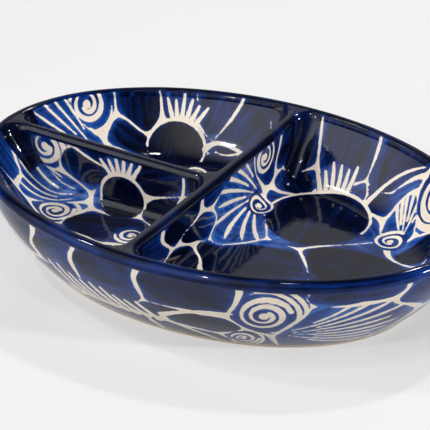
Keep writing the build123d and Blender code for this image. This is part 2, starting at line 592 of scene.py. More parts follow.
def lipNodes():
    # a round coil swept round the oval, pressed flat below where it sits on the wall
    tree = bpy.data.node_groups.new("lipSweep", "GeometryNodeTree")
    tree.interface.new_socket("Geometry", in_out="OUTPUT", socket_type="NodeSocketGeometry")
    sockets = {}
    for name, value in lipSizes().items():
        socket = tree.interface.new_socket(name, in_out="INPUT", socket_type="NodeSocketFloat")
        socket.default_value = value * mm
        sockets[name] = socket.identifier
    socket = tree.interface.new_socket("glaze", in_out="INPUT", socket_type="NodeSocketMaterial")
    sockets["glaze"] = socket.identifier
    node, link = tree.nodes.new, tree.links.new
    given, result = node("NodeGroupInput").outputs, node("NodeGroupOutput").inputs
    path = node("GeometryNodeCurvePrimitiveCircle")
    path.inputs["Resolution"].default_value = lip["pathSteps"]
    path.inputs["Radius"].default_value = 1.0
    size, place = node("ShaderNodeCombineXYZ"), node("ShaderNodeCombineXYZ")
    size.inputs["Z"].default_value = 1.0
    link(given["halfLength"], size.inputs["X"])
    link(given["halfWidth"], size.inputs["Y"])
    link(given["height"], place.inputs["Z"])
    stretch = node("GeometryNodeTransform")
    link(path.outputs["Curve"], stretch.inputs["Geometry"])
    link(size.outputs[0], stretch.inputs["Scale"])
    link(place.outputs[0], stretch.inputs["Translation"])
    upright = node("GeometryNodeSetCurveNormal")
    upright.mode = "Z_UP"
    link(stretch.outputs["Geometry"], upright.inputs["Curve"])
    roll = node("GeometryNodeCurvePrimitiveCircle")
    roll.inputs["Resolution"].default_value = lip["rollSteps"]
    link(given["rollRadius"], roll.inputs["Radius"])
    sweep = node("GeometryNodeCurveToMesh")
    link(upright.outputs["Curve"], sweep.inputs["Curve"])
    link(roll.outputs["Curve"], sweep.inputs["Profile Curve"])
    # the hand-rolled waver only ever goes inwards
    spot = node("GeometryNodeInputPosition").outputs[0]
    ripple = noiseNode(tree, spot, lip["waverScale"], lip["waverDetail"])
    depth = mathNode(tree, "MULTIPLY", mathNode(tree, "SUBTRACT", ripple, 1.0), given["waver"])
    inwards = node("ShaderNodeVectorMath")
    inwards.operation = "SCALE"
    link(node("GeometryNodeInputNormal").outputs[0], inwards.inputs[0])
    link(depth, inwards.inputs["Scale"])
    soften = node("GeometryNodeSetPosition")
    link(sweep.outputs["Mesh"], soften.inputs["Geometry"])
    link(inwards.outputs[0], soften.inputs["Offset"])
    # pressed flat on its seat
    split, join = node("ShaderNodeSeparateXYZ"), node("ShaderNodeCombineXYZ")
    link(node("GeometryNodeInputPosition").outputs[0], split.inputs[0])
    seat = mathNode(tree, "SUBTRACT", given["height"], given["seatDrop"])
    link(split.outputs["X"], join.inputs["X"])
    link(split.outputs["Y"], join.inputs["Y"])
    link(mathNode(tree, "MAXIMUM", split.outputs["Z"], seat), join.inputs["Z"])
    press = node("GeometryNodeSetPosition")
    link(soften.outputs["Geometry"], press.inputs["Geometry"])
    link(join.outputs[0], press.inputs["Position"])
    smoothed = node("GeometryNodeSetShadeSmooth")
    link(press.outputs["Geometry"], smoothed.inputs["Geometry"])
    realize, paint = node("GeometryNodeRealizeInstances"), node("GeometryNodeSetMaterial")
    link(smoothed.outputs["Geometry"], realize.inputs["Geometry"])
    link(realize.outputs["Geometry"], paint.inputs["Geometry"])
    link(given["glaze"], paint.inputs["Material"])
    link(paint.outputs["Geometry"], result["Geometry"])
    return tree, sockets


def lipPlace(points):
    # place round the rim, direction outwards there, and distance out from the lip's middle line
    a, b = lip["half"]
    angle = np.arctan2(points[:, 1] / b, points[:, 0] / a)
    away = np.stack([np.cos(angle) / a, np.sin(angle) / b], 1)
    away /= np.linalg.norm(away, axis=1)[:, None]
    out = ((points[:, :2] - np.stack([a * np.cos(angle), b * np.sin(angle)], 1)) * away).sum(1)
    return angle, away, out


def pressLip(points):
    angle, away, out = lipPlace(points)
    points[:, :2] -= away * (np.minimum(out, 0) * (1 - lip["innerShare"]))[:, None]
    return points


def buildLip(coat):
    tree, sockets = lipNodes()
    holder = bpy.data.objects.new("lipPath", bpy.data.meshes.new("lipPath"))
    scene.collection.objects.link(holder)
    sweep = holder.modifiers.new("lipSweep", "NODES")
    sweep.node_group = tree
    for name, value in lipSizes().items():
        sweep[sockets[name]] = value * mm
    sweep[sockets["glaze"]] = coat
    bpy.context.view_layer.update()
    rolled = holder.evaluated_get(bpy.context.evaluated_depsgraph_get())
    mesh = bpy.data.meshes.new_from_object(rolled)
    holder.modifiers.clear()
    bpy.data.objects.remove(holder)
    mesh.name = "lipRoll"
    spots = np.empty(len(mesh.vertices) * 3)
    mesh.vertices.foreach_get("co", spots)
    spots = pressLip(spots.reshape(-1, 3) / mm)
    mesh.vertices.foreach_set("co", (spots * mm).ravel())
    paintMesh(mesh, brushValues(lipPaint(spots)))
    obj = bpy.data.objects.new("lipRoll", mesh)
    scene.collection.objects.link(obj)
    print("lipRoll", len(mesh.vertices), "points", len(mesh.polygons), "faces")
    return obj


paintSeed = np.random.default_rng(11)
clear = 9.0  # millimetres, a distance that counts as far from every edge
wash = 0.56  # how heavily the plain blue lies, where 1 is nearly black
brushWay = (0.8, 0.6)  # the plain brush runs across the dish this way


def newPaint(flat):
    # cream where reserve is below 0; depth is how heavily the blue lies
    flat = np.asarray(flat, float)
    count = len(flat)
    x, y = flat.T
    c, s = brushWay
    return {"flat": flat, "reserve": np.full(count, clear), "depth": np.full(count, wash),
            "along": x * c + y * s, "across": y * c - x * s, "tone": np.zeros(count)}


def turned(flat, x, y, angle):
    c, s = math.cos(math.radians(angle)), math.sin(math.radians(angle))
    dx, dy = flat[:, 0] - x, flat[:, 1] - y
    return dx * c + dy * s, dy * c - dx * s


def roundLine(x, y, out, turn):
    # points at the given distances and angles from a middle
    return np.stack([x + out * np.cos(turn), y + out * np.sin(turn)], 1)


def eggEdge(flat, x, y, angle, length, width, bulge=0.22):
    # distance to an egg's outline, with the place along and across it
    u, v = turned(flat, x, y, angle)
    out = np.hypot(u / length, v / (width * (1 + bulge * np.clip(u / length, -1, 1))))
    return np.hypot(u, v) * (1 - 1 / np.maximum(out, 1e-3)), u, v


def taperEdge(flat, line, widths):
    # distance to a brush stroke: a line of points with a half width at each
    line, widths = np.asarray(line, float), np.asarray(widths, float)
    reach = stroke["reach"] + widths.max()
    near = np.all((flat > line.min(0) - reach) & (flat < line.max(0) + reach), axis=1)
    edge = np.full(len(flat), clear)
    spots = flat[near]
    best = np.full(len(spots), clear)
    for p0, p1, w0, w1 in zip(line[:-1], line[1:], widths[:-1], widths[1:]):
        run = p1 - p0
        t = np.clip((spots - p0) @ run / max(run @ run, 1e-9), 0, 1)
        gap = np.linalg.norm(spots - p0 - t[:, None] * run, axis=1)
        best = np.minimum(best, gap - w0 - t * (w1 - w0))
    edge[near] = best
    return edge


def layCream(paint, edge):
    paint["reserve"] = np.minimum(paint["reserve"], edge)


def turnBrush(paint, inside, along, across):
    # there the brush runs its own way, with a tone of its own
    tone = paintSeed.uniform(-0.5, 0.5)
    for key, value in (("along", along), ("across", across), ("tone", tone)):
        paint[key] = np.where(inside, value, paint[key])


stroke = {
    "reach": 6.0,  # distances are worked out only this near to a stroke
    "blueSoft": 0.7, "petalSoft": 1.0, "petalFade": 0.12,  # soft edges, and less paint at a petal's end
    "lightOut": 0.3, "lightIn": 0.5,  # a bright wash fades this far out and in, as shares of its width
    "steps": 18, "least": 0.35,
    "places": [0, 0.08, 0.3, 0.75, 1], "widths": [1.7, 1.25, 0.95, 0.8],  # flared start; the tip is given
    "ownGap": 0.3,  # blue kept between a stroke and the edge of its own ground
}


def layBlue(paint, edge, depth, along, across):
    # blue over whatever is there, with its own brush direction
    paint["reserve"] = np.maximum(paint["reserve"], -edge)
    cover = smooth(stroke["blueSoft"], -stroke["blueSoft"], edge)
    paint["depth"] = paint["depth"] + (depth - paint["depth"]) * cover
    turnBrush(paint, edge < 0, along, across)


def layPetal(paint, x, y, angle, length, width, depth, own):
    # dark inside its own egg shape, and its brush marks run on over the rest of its ground
    edge, u, v = eggEdge(paint["flat"], x, y, angle, length, width)
    turnBrush(paint, own < 0, u, v)
    cover = smooth(stroke["petalSoft"], -stroke["petalSoft"], edge)
    dark = paint["depth"] + (depth - stroke["petalFade"] * u / length - paint["depth"]) * cover
    paint["depth"] = np.where(own < 0, dark, paint["depth"])


def layLight(paint, x, y, angle, length, width, depth):
    # a thin bright wash that fades at its edge
    edge = eggEdge(paint["flat"], x, y, angle, length, width)[0]
    cover = smooth(width * stroke["lightOut"], -width * stroke["lightIn"], edge)
    paint["depth"] = paint["depth"] + (depth - paint["depth"]) * cover


def layStroke(paint, points, width, tip=0.4):
    # one cream line through the points, flared where it starts and pointed where it ends
    points = np.asarray(points, float)
    t = np.linspace(0, 1, stroke["steps"])
    knots = np.linspace(0, 1, len(points))
    fit = np.polyfit(knots, points, min(3, len(points) - 1))
    line = np.stack([np.polyval(fit[:, 0], t), np.polyval(fit[:, 1], t)], 1)
    share = np.interp(t, stroke["places"], [*stroke["widths"], tip])
    layCream(paint, taperEdge(paint["flat"], line, np.maximum(width * share, stroke["least"])))


comb = {
    "lean": 1.15,  # the teeth spread more at their ends than where they stand
    "sideShort": 0.15, "uneven": 0.12, "unevenTurn": 2.3,  # shorter at the sides, and not all alike
    "sunk": 1.0, "pitchAt": 0.4, "steps": 7,
    "places": [0, 0.25, 0.7, 1], "widths": [0.40, 0.36, 0.33, 0.22],  # half widths, as shares of the pitch
}


def layComb(paint, x, y, radius, angle, spread, length, teeth):
    # blunt cream teeth that stand on the edge of a disc
    pitch = math.radians(spread) * 2 * (radius + length * comb["pitchAt"]) / teeth
    half = pitch * np.interp(np.linspace(0, 1, comb["steps"]), comb["places"], comb["widths"])
    for k in range(teeth):
        share = 2 * (k + 0.5) / teeth - 1
        turn = math.radians(angle + spread * share)
        lean = math.radians(angle + spread * comb["lean"] * share)
        uneven = comb["uneven"] * math.cos(k * comb["unevenTurn"])
        reach = radius + length * (1.0 - comb["sideShort"] * abs(share) + uneven)
        root = radius - comb["sunk"]
        low = (x + root * math.cos(turn), y + root * math.sin(turn))
        high = (x + reach * math.cos(lean), y + reach * math.sin(lean))
        layCream(paint, taperEdge(paint["flat"], np.linspace(low, high, comb["steps"]), half))


flower = {
    "bandAt": 0.3, "bandLong": 0.75, "bandWide": 1.1, "bandDepth": 0.5,  # the wash under the comb
    "discBulge": 0.05, "discDepth": 1.0,
    "rimAt": 0.6, "rimHalf": 0.8, "rimMore": 0.4, "rimFrom": -0.25,  # the cream line on the comb's side
}


def layFlower(paint, x, y, radius, angle, spread, length, teeth):
    # a dark disc under a comb of cream teeth
    flat, mid = paint["flat"], math.radians(angle)
    out = radius + length * flower["bandAt"]
    band, u, v = eggEdge(flat, x + out * math.cos(mid), y + out * math.sin(mid), angle,
                         length * flower["bandLong"], math.radians(spread) * out * flower["bandWide"])
    layBlue(paint, band, flower["bandDepth"], u, v)
    layComb(paint, x, y, radius, angle, spread, length, teeth)
    edge, u, v = eggEdge(flat, x, y, angle, radius, radius, flower["discBulge"])
    layBlue(paint, edge, flower["discDepth"], u, v)
    rim = np.abs(edge - flower["rimAt"]) - flower["rimHalf"] - flower["rimMore"] * np.cos(np.arctan2(v, u))
    layCream(paint, np.where(u > flower["rimFrom"] * radius, rim, clear))


eye = {  # shares of the radius, unless noted
    "disc": 1.06, "ground": 1.1, "drop": 0.2, "coilIn": 0.72, "coilSteps": 60,
    "coilHalf": 0.105, "coilMore": 0.04, "coilTurn": 0.6, "least": 0.65,
    "places": [0, 0.08, 0.9, 1], "widths": [0.7, 1, 0.8, 0.5],
    "arcEvery": 5,  # one arc more for every 5 mm of radius
    "arcFirst": 1.28, "arcStep": 0.27, "arcTurn": 1.7, "arcLess": 0.15, "arcSteps": 40,
    "arcLeast": 0.45, "arcHalf": 0.06, "arcTaper": 1.5,  # the least half width is in millimetres
}


def layEye(paint, own, x, y, radius, angle, hand=1, turns=2.0):
    # a cream coil round a cream drop, then cream arcs out to the edge of its own ground
    flat, start = paint["flat"], math.radians(angle)
    u, v = turned(flat, x, y, angle)
    away = np.hypot(u, v)
    layBlue(paint, np.maximum(away - radius * eye["disc"], own), wash, np.arctan2(v, u) * radius, away)
    t = np.linspace(0, 1, eye["coilSteps"])
    turn = start + hand * t * turns * 2 * math.pi
    line = roundLine(x, y, radius * (1.0 - eye["coilIn"] * t), turn)
    half = radius * (eye["coilHalf"] + eye["coilMore"] * np.cos(turn - start - eye["coilTurn"]))
    half = np.maximum(half * np.interp(t, eye["places"], eye["widths"]), eye["least"])
    drop = np.hypot(flat[:, 0] - x, flat[:, 1] - y) - radius * eye["drop"]
    coil = np.minimum(taperEdge(flat, line, half), drop)
    taper = np.cos(np.linspace(-eye["arcTaper"], eye["arcTaper"], eye["arcSteps"]))
    for k in range(round(radius / eye["arcEvery"]) - 1):
        arc = np.linspace(-eye["arcTurn"], eye["arcTurn"], eye["arcSteps"]) * (1 - eye["arcLess"] * k)
        line = roundLine(x, y, radius * (eye["arcFirst"] + eye["arcStep"] * k), start + arc)
        coil = np.minimum(coil, taperEdge(flat, line, eye["arcLeast"] + radius * eye["arcHalf"] * taper))
    layCream(paint, np.maximum(coil, own + stroke["ownGap"]))


fan = {  # shares of the length, unless noted
    "washAt": 0.55, "washLong": 0.62, "washWide": 0.6, "washMore": 4.0,
    "washSpread": 110, "washDepth": 0.36,
    "groundAt": 0.56, "groundLong": 0.5, "groundWide": 0.62, "groundSpread": 100,
    "starts": (0.36, 0.15), "steps": 10,  # every other stroke starts nearer to the root
    "sideShort": 0.1, "uneven": 0.05, "unevenTurn": 2.4,
    "places": [0.1, 0.5, 0.85, 1], "widths": [0.3, 0.75, 1.15, 0.5],
}


def fanHalf(length, spread, most):
    return length * math.tan(math.radians(min(spread, most)) / 2)


def layFan(paint, own, x, y, angle, spread, length, strokes, bend=0.0, fat=1.25):
    # cream strokes that spread like a feather over a thin bright wash, as far as their own ground
    mid, at = math.radians(angle), fan["washAt"] * length
    wide = fanHalf(length, spread, fan["washSpread"]) * fan["washWide"] + fan["washMore"]
    layLight(paint, x + at * math.cos(mid), y + at * math.sin(mid), angle,
             length * fan["washLong"], wide, fan["washDepth"])
    for k in range(strokes):
        share = k / (strokes - 1) * 2 - 1
        uneven = fan["uneven"] * (math.cos(k * fan["unevenTurn"]) - 1)
        reach = length * (1.0 - fan["sideShort"] * share * share) * (1 + uneven)
        t = np.linspace(fan["starts"][k % 2], 1, fan["steps"])
        turn = math.radians(angle + spread / 2 * share)
        turn = turn + math.radians(bend) * t**2 * (0.5 + 0.5 * abs(share))
        half = fat * np.interp(t, fan["places"], fan["widths"])
        edge = taperEdge(paint["flat"], roundLine(x, y, reach * t, turn), half)
        layCream(paint, np.maximum(edge, own + stroke["ownGap"]))


def fanShape(x, y, angle, spread, length, *rest):
    # the egg that stands for a fan when the ground is shared out
    mid, at = math.radians(angle), fan["groundAt"] * length
    wide = fanHalf(length, spread, fan["groundSpread"]) * fan["groundWide"]
    return x + at * math.cos(mid), y + at * math.sin(mid), angle, fan["groundLong"] * length, wide


def softLess(a, b, soft):
    # the lesser of two values, rounded off where they are alike
    near = np.clip(0.5 + 0.5 * (b - a) / soft, 0, 1)
    return b + (a - b) * near - soft * near * (1 - near)


web = {  # the cream left between the shapes
    "half": 1.15, "halfOutside": 1.6, "least": 0.3, "round": 3.5,
    "even": 0.72, "uneven": 0.55, "waveX": (0.10, 1.3), "waveY": (0.12, 0.7),
    "fadeFrom": 14.0, "fadeTo": 46.0,  # it thins out where shapes lie this far apart
}


def webHalf(flat, apart, half):
    (fx, px), (fy, py) = web["waveX"], web["waveY"]
    uneven = web["even"] + web["uneven"] * np.sin(fx * flat[:, 0] + px) * np.sin(fy * flat[:, 1] + py)
    return half * uneven * smooth(web["fadeTo"], web["fadeFrom"], apart)


def paintDesign(paint, design, half):
    # every shape takes the ground nearest to it, and cream is left between them, wider where three meet
    flat = paint["flat"]
    petals, flowers = design.get("petals", ()), design.get("flowers", ())
    eyes, fans = design.get("eyes", ()), design.get("fans", ())
    shapes = [row[:5] for row in petals]
    shapes += [(x, y, angle, radius, radius) for x, y, radius, angle, *rest in flowers]
    shapes += [(x, y, 0, radius * eye["ground"], radius * eye["ground"]) for x, y, radius, *rest in eyes]
    shapes += [fanShape(*row) for row in fans]
    away = np.stack([eggEdge(flat, *shape)[0] for shape in shapes], 1)
    order = np.argsort(away, axis=1)[:, :3]
    first, second, third = np.take_along_axis(away, order, 1).T
    owner = order[:, 0]
    for row in design.get("light", ()):
        layLight(paint, *row)
    for k, row in enumerate(petals):
        layPetal(paint, *row, np.where(owner == k, -clear, clear))
    between = softLess((second - first) / 2, (third - first) / 2, web["round"])
    half = webHalf(flat, first + second, half)
    layCream(paint, np.where(half > web["least"], between - half, clear))
    count = len(petals) + len(flowers)
    for k, (lay, row) in enumerate([(layEye, row) for row in eyes] + [(layFan, row) for row in fans]):
        rival = np.min(np.delete(away, count + k, 1), axis=1)
        lay(paint, (away[:, count + k] - rival) / 2, *row)
    for row in flowers:
        layFlower(paint, *row)
    for x, y, radius, *rest in design.get("small", ()):
        own = np.hypot(flat[:, 0] - x, flat[:, 1] - y) - radius * eye["ground"]
        layEye(paint, own, x, y, radius, *rest)
    for row in design.get("lines", ()):
        layStroke(paint, *row)


# Each row gives a place on the unrolled inside, in millimetres, then angles in degrees and sizes.
# light, petals: x, y, angle, length, width, depth; flowers: x, y, radius, angle, spread, length, teeth;
# fans: x, y, angle, spread, length, strokes, bend, fat; eyes, small: x, y, radius, angle, hand, turns;
# lines: points, half width, tip.
largeDesign = {
    "light": [(10, 6, 250, 46, 30, 0.26), (120, -20, 0, 34, 30, 0.3), (104, 56, 100, 30, 16, 0.25)],
    "fans": [
        (-4, 50, 250, 84, 60, 9, 8), (98, 50, 100, 50, 40, 6, -14), (104, -58, 236, 70, 46, 8, 12),
    ],
    "eyes": [(-28, 56, 13, 235, -1), (122, 74, 20, 205, 1, 2.2), (134, -34, 15, 160, -1)],
    "petals": [
        (-2, 106, 100, 26, 13, 0.84), (36, 112, 84, 24, 18, 0.80), (88, 106, 58, 32, 20, 0.82),
        (-22, 90, 105, 18, 9, 0.72), (9, 79, 140, 17, 9, 0.95), (80, 80, 22, 27, 10, 0.70),
        (28, -23, 15, 36, 22, 0.93), (93, 1, -14, 38, 24, 0.93), (122, 38, 30, 20, 12, 0.97),
        (150, 36, 18, 24, 16, 0.66), (160, -8, 0, 22, 21, 0.65), (64, -58, -12, 33, 17, 0.70),
        (-15, -22, 82, 25, 9, 0.97), (-3, -47, 72, 22, 9, 1.0), (-28, -47, 95, 22, 9, 0.97),
        (-32, 4, 98, 24, 11, 0.70), (-22, -82, 80, 20, 10, 0.70), (14, -86, 95, 26, 13, 0.68),
        (40, -112, -85, 18, 16, 0.65), (100, -98, -55, 24, 15, 0.67), (6, -112, -90, 16, 12, 0.64),
        (140, -66, -30, 22, 15, 0.65), (106, -36, 200, 18, 12, 0.95),
    ],
    "flowers": [(40, 47, 33, 99, 18, 19, 6), (72, -84, 21, -84, 24, 16, 6)],
    "small": [(1, 42, 9.5, 120, -1, 1.7), (93, 45, 10.5, 60, 1, 1.7), (38, -62, 9, 30, 1, 1.7)],
    "lines": [([(61, 76), (80, 93), (106, 98)], 1.3), ([(88, -62), (104, -72), (126, -82)], 1.1)],
}
nearDesign = {
    "light": [(-122, -10, 190, 40, 24, 0.26), (-40, -60, 300, 30, 24, 0.3)],
    "fans": [(-100, -4, 190, 58, 62, 6, -6, 1.0), (-58, -44, 312, 76, 40, 7, 10)],
    "eyes": [(-131, 22, 15, 330, 1, 2.1), (-108, -28, 12, 40, -1), (-96, -92, 14, 60, 1)],
    "petals": [
        (-102, 14, 172, 23, 10, 0.93), (-94, 29, 150, 14, 8, 0.70), (-72, 36, 90, 12, 9, 0.65),
        (-48, 20, 25, 20, 12, 0.93), (-40, -2, 5, 17, 11, 0.97), (-68, -30, 6, 30, 17, 0.95),
        (-30, -30, 80, 20, 13, 0.95), (-12, -40, 80, 22, 10, 0.70), (-2, -14, 80, 16, 10, 0.70),
        (-86, -62, 20, 24, 14, 0.70), (-30, -84, -80, 24, 13, 0.66), (-62, -104, -95, 22, 13, 0.65),
        (-128, -60, 220, 24, 14, 0.68), (-152, -26, 200, 18, 14, 0.66), (-4, -88, 85, 22, 10, 0.66),
        (-20, -112, -88, 14, 12, 0.64), (-120, -92, 230, 18, 10, 0.64),
    ],
    "flowers": [(-72, 0, 16, 94, 32, 14, 6)],
    "small": [(-50, -31, 9.5, 200, 1, 1.8), (-56, -66, 8.5, 20, -1, 1.7)],
    "lines": [([(-30, 8), (-27, 20), (-28, 36)], 1.1)],
}
farDesign = {
    "light": [(-140, 44, 170, 36, 18, 0.28), (-18, 94, 90, 20, 14, 0.26)],
    "fans": [(-122, 42, 190, 58, 56, 6, 8, 1.0), (-60, 28, 262, 80, 44, 8, 8)],
    "eyes": [(-148, 62, 15, 300, -1, 2.1), (-118, 8, 13, 40, 1)],
    "petals": [
        (-115, 87, 130, 20, 15, 0.95), (-94, 102, 122, 28, 12, 0.68), (-63, 112, 86, 20, 15, 0.82),
        (-40, 105, 62, 26, 16, 0.82), (-44, 76, 26, 24, 11, 0.84), (-108, 65, 178, 15, 9, 0.97),
        (-96, 44, 200, 18, 11, 0.95), (-30, 46, 20, 20, 12, 0.72), (-62, 40, 0, 20, 11, 0.95),
        (-84, 18, 190, 22, 10, 0.93), (-28, 16, 60, 18, 11, 0.70), (-4, 44, 90, 20, 9, 0.66),
        (-62, -14, 85, 20, 11, 0.66), (-96, -16, 95, 20, 11, 0.65), (-30, -14, 85, 20, 10, 0.65),
        (-138, -14, 95, 18, 10, 0.65), (4, 90, 92, 22, 9, 0.64),
    ],
    "flowers": [(-80, 73, 19, 101, 27, 16, 6)],
    "small": [(-58, 59, 8.5, 30, 1, 1.7)],
    "lines": [
        ([(-62, 82), (-48, 90), (-30, 88), (-20, 98)], 1.3), ([(-23, 114), (-22, 96), (-28, 78)], 1.3),
        ([(-12, 112), (-12, 98), (-17, 82)], 1.2),
    ],
}


def paintInside(points, flat):
    # three compartments, each unrolled onto its own plane
    x, y = points[:, 0], points[:, 1]
    large = x > slab["crossX"]
    far = ~large & (y > 0)
    result = newPaint(flat)
    for rows, design in ((large, largeDesign), (far, farDesign), (~large & ~far, nearDesign)):
        part = newPaint(np.asarray(flat)[rows])
        if len(part["flat"]):
            paintDesign(part, design, web["half"])
        for key in result:
            result[key][rows] = part[key]
    return result


sprayComb = {
    "strokes": 9, "pitch": 8.2, "lean": 12, "foot": 19, "footRise": 0.3,
    "top": 41, "topDrop": 0.9, "uneven": 2, "unevenTurn": 1.7, "width": 2.0, "tip": 0.6,
}


def combStroke(k):
    # one slanted stroke of the outside's comb
    x = sprayComb["pitch"] * k
    low = (x, sprayComb["foot"] + sprayComb["footRise"] * k)
    uneven = sprayComb["uneven"] * math.sin(k * sprayComb["unevenTurn"])
    high = (x - sprayComb["lean"], sprayComb["top"] - sprayComb["topDrop"] * k + uneven)
    return [low, high], sprayComb["width"], sprayComb["tip"]


outside = {"run": 800.0, "start": 548.0, "sprays": 3}  # a strip, with one spray laid three times
outsideStep = outside["run"] / outside["sprays"]
outsideSpray = {
    "light": [(186, 30, 5, 44, 26, 0.3)],
    "fans": [(140, 26, 5, 56, 76, 9, 8)],
    "eyes": [(132, 45, 15, 20, 1, 2.1), (122, 15, 10, 10, -1, 1.9)],
    "petals": [
        (-8, 56, 20, 22, 10, 0.72), (34, 57, 2, 22, 11, 0.74), (84, 55, -6, 28, 12, 0.74),
        (94, 31, -8, 25, 8, 0.93), (20, 6, 2, 40, 7, 0.72), (90, 8, -4, 26, 8, 0.78),
        (226, 54, 6, 24, 11, 0.74), (236, 14, 10, 26, 12, 0.80), (184, 60, 0, 22, 6, 0.72),
    ],
    "lines": [
        ([(-6, 18), (32, 19), (72, 25)], 1.7, 1.0), ([(70, 29), (90, 40), (114, 44)], 1.7),
        ([(70, 23), (88, 16), (112, 2)], 1.6),
    ],
    "comb": [combStroke(k) for k in range(sprayComb["strokes"])],
}


def shifted(row, step):
    if isinstance(row[0], list):
        return ([(x + step, y) for x, y in row[0]], *row[1:])
    return (row[0] + step, *row[1:])


def paintOutside(paint):
    # each spray has its neighbours beside it, so that the three join without a seam
    flat = paint["flat"]
    paint["flat"] = np.stack([(flat[:, 0] - outside["start"]) % outsideStep, flat[:, 1]], 1)
    spray = {name: [shifted(row, step) for row in rows for step in (-outsideStep, 0.0, outsideStep)]
             for name, rows in outsideSpray.items()}
    paintDesign(paint, spray, web["halfOutside"])
    for row in spray["comb"]:
        layStroke(paint, *row)
    paint["flat"] = flat


def outsideFlat(points):
    # unrolls the outside: distance round the dish, and up from the foot
    z = np.linspace(0, bowl["seatZ"], samples["strip"])
    a, b = outsideHalfAt(z)
    up = runLength(np.diff((a + b) / 2), np.diff(z))
    a, b = outsideHalfAt(points[:, 2])
    angle = np.arctan2(points[:, 1] / b, points[:, 0] / a) % (2 * math.pi)
    around = np.interp(angle, turnAngle, turnShare)
    return np.stack([around * outside["run"], np.interp(points[:, 2], z, up)], 1)


plain = {  # the dark blue without brushwork, beside the dividers and on their crests
    "above": 12.0, "margin": 1.0, "depth": 0.84,  # from this height over the floor up
    "darkFrom": 46.0, "darkTo": 58.0, "darkMore": 0.16, "darkAbove": 40.0, "darkSoft": 2.0,
    "crestDrop": 4.6, "crestDepth": 1.0, "noSlab": 99.0,
    "footInside": 0.03,  # further in than this share the foot is bare of blue
}


def layPlain(paint, edge, depth):
    layBlue(paint, edge, depth, paint["flat"][:, 1], paint["flat"][:, 0])


def darkenUp(paint, z, edge):
    # the glaze beside a divider's end darkens towards the lip
    dark = plain["depth"] + plain["darkMore"] * smooth(plain["darkFrom"], plain["darkTo"], z)
    cover = smooth(plain["darkSoft"], -plain["darkSoft"], edge) * (z > plain["darkAbove"])
    paint["depth"] += (np.maximum(paint["depth"], dark) - paint["depth"]) * cover


def fromSlabs(points):
    # distance from the nearer divider's face
    fromCross = np.abs(points[:, 0] - slab["crossX"]) - slab["halfThick"]
    byLong = points[:, 0] < slab["crossX"]
    fromLong = np.where(byLong, np.abs(points[:, 1]) - slab["halfThick"], plain["noSlab"])
    return np.minimum(fromCross, fromLong)


def shellPaint(points, zone):
    paint = newPaint(insideFlat(points))
    inner, outer, under = zone == 0, zone == 1, zone == 2
    inside = paintInside(points[inner], paint["flat"][inner])
    z = points[inner][:, 2]
    gap = fromSlabs(points[inner]) - seamRadius(z)
    layPlain(inside, np.maximum(gap - plain["margin"], bowl["floorZ"] + plain["above"] - z), plain["depth"])
    darkenUp(inside, z, gap)
    wall = newPaint(outsideFlat(points[outer]))
    paintOutside(wall)
    base = newPaint(points[under][:, :2])
    base["reserve"][:] = -clear
    for rows, part in ((inner, inside), (outer, wall), (under, base)):
        for key in paint:
            paint[key][rows] = part[key]
    return paint


def footPaint(points):
    paint = newPaint(outsideFlat(points))
    paintOutside(paint)
    a, b = outsideHalfAt(points[:, 2])
    inwards = 1 - np.hypot(points[:, 0] / a, points[:, 1] / b)
    layCream(paint, np.where(inwards > plain["footInside"], -clear, clear))
    return paint


def slabPaint(points, info, isCross):
    # the brushwork of the floor folds up over the seam onto the slab's face
    across, below = info.T
    heights = np.maximum(points[:, 2] - bowl["floorZ"], 0.0)
    fold = heights - seam["radius"] * (2 - quarter)
    axis, run, middle = (0, 1, slab["crossX"]) if isCross else (1, 0, 0.0)
    flat = points[:, :2].copy()
    flat[:, axis] = middle + np.sign(across) * (slab["halfThick"] - fold)
    where = points.copy()
    where[:, axis] = middle + np.sign(across) * (slab["halfThick"] + 0.1)  # just inside its compartment
    paint = paintInside(where, flat)
    endGap = insideHalfAt(points[:, 2])[run] - np.abs(points[:, run])
    if isCross:
        teeGap = np.where(across < 0, np.abs(points[:, 1]) - slab["halfThick"], plain["noSlab"])
    else:
        teeGap = slab["crossX"] - slab["halfThick"] - points[:, 0]
    gap = np.minimum(endGap, teeGap) - seamRadius(points[:, 2])
    layPlain(paint, np.maximum(gap - plain["margin"], plain["above"] - heights), plain["depth"])
    layPlain(paint, -plain["crestDrop"] - below, plain["crestDepth"])
    return paint


def seamPaint(points, unfolded, heights):
    points, heights = np.asarray(points), np.asarray(heights)
    paint = paintInside(points, np.asarray(unfolded))
    layPlain(paint, plain["above"] - heights, plain["depth"])
    darkenUp(paint, points[:, 2], np.zeros(len(points)))
    return paint


lipCoat = {  # angles round the roll in degrees: 0 at the inmost line, 90 at the top, 180 outermost
    "paintTo": 52, "topFrom": 60, "topDepth": 0.98, "endGap": 14.0,
    "outerFrom": 95.0, "outerTo": 150.0, "outerLess": 0.30,
    "perDegree": 0.083,  # millimetres along the roll
}


def lipPaint(points):
    # the brushwork runs up the lip's inner side; its top is dark and its outer side a purer blue
    angle, away, out = lipPlace(points)
    turn = np.degrees(np.arctan2(points[:, 2] - lip["z"], -out))
    turn = np.where(turn < -90, turn + 360, turn)
    paint = paintInside(points, insideFlat(points))
    inner = (lipCoat["paintTo"] - turn) * lipCoat["perDegree"]
    layPlain(paint, np.minimum(inner, fromSlabs(points) - lipCoat["endGap"]), lipCoat["topDepth"])
    outer = smooth(lipCoat["outerFrom"], lipCoat["outerTo"], turn)
    around = np.interp(angle % (2 * math.pi), turnAngle, turnShare) * outside["run"]
    depth = lipCoat["topDepth"] - lipCoat["outerLess"] * outer
    for key, value in (("depth", depth), ("along", around), ("across", turn * lipCoat["perDegree"])):
        paint[key] = np.where(turn > lipCoat["topFrom"], value, paint[key])
    return paint


toneShift = 60  # moves each stroke to its own place in the streaks


def brushValues(paint):
    return {"reserve": paint["reserve"], "depth": paint["depth"],
            "brush": np.stack([paint["along"], paint["across"], paint["tone"] * toneShift], 1)}


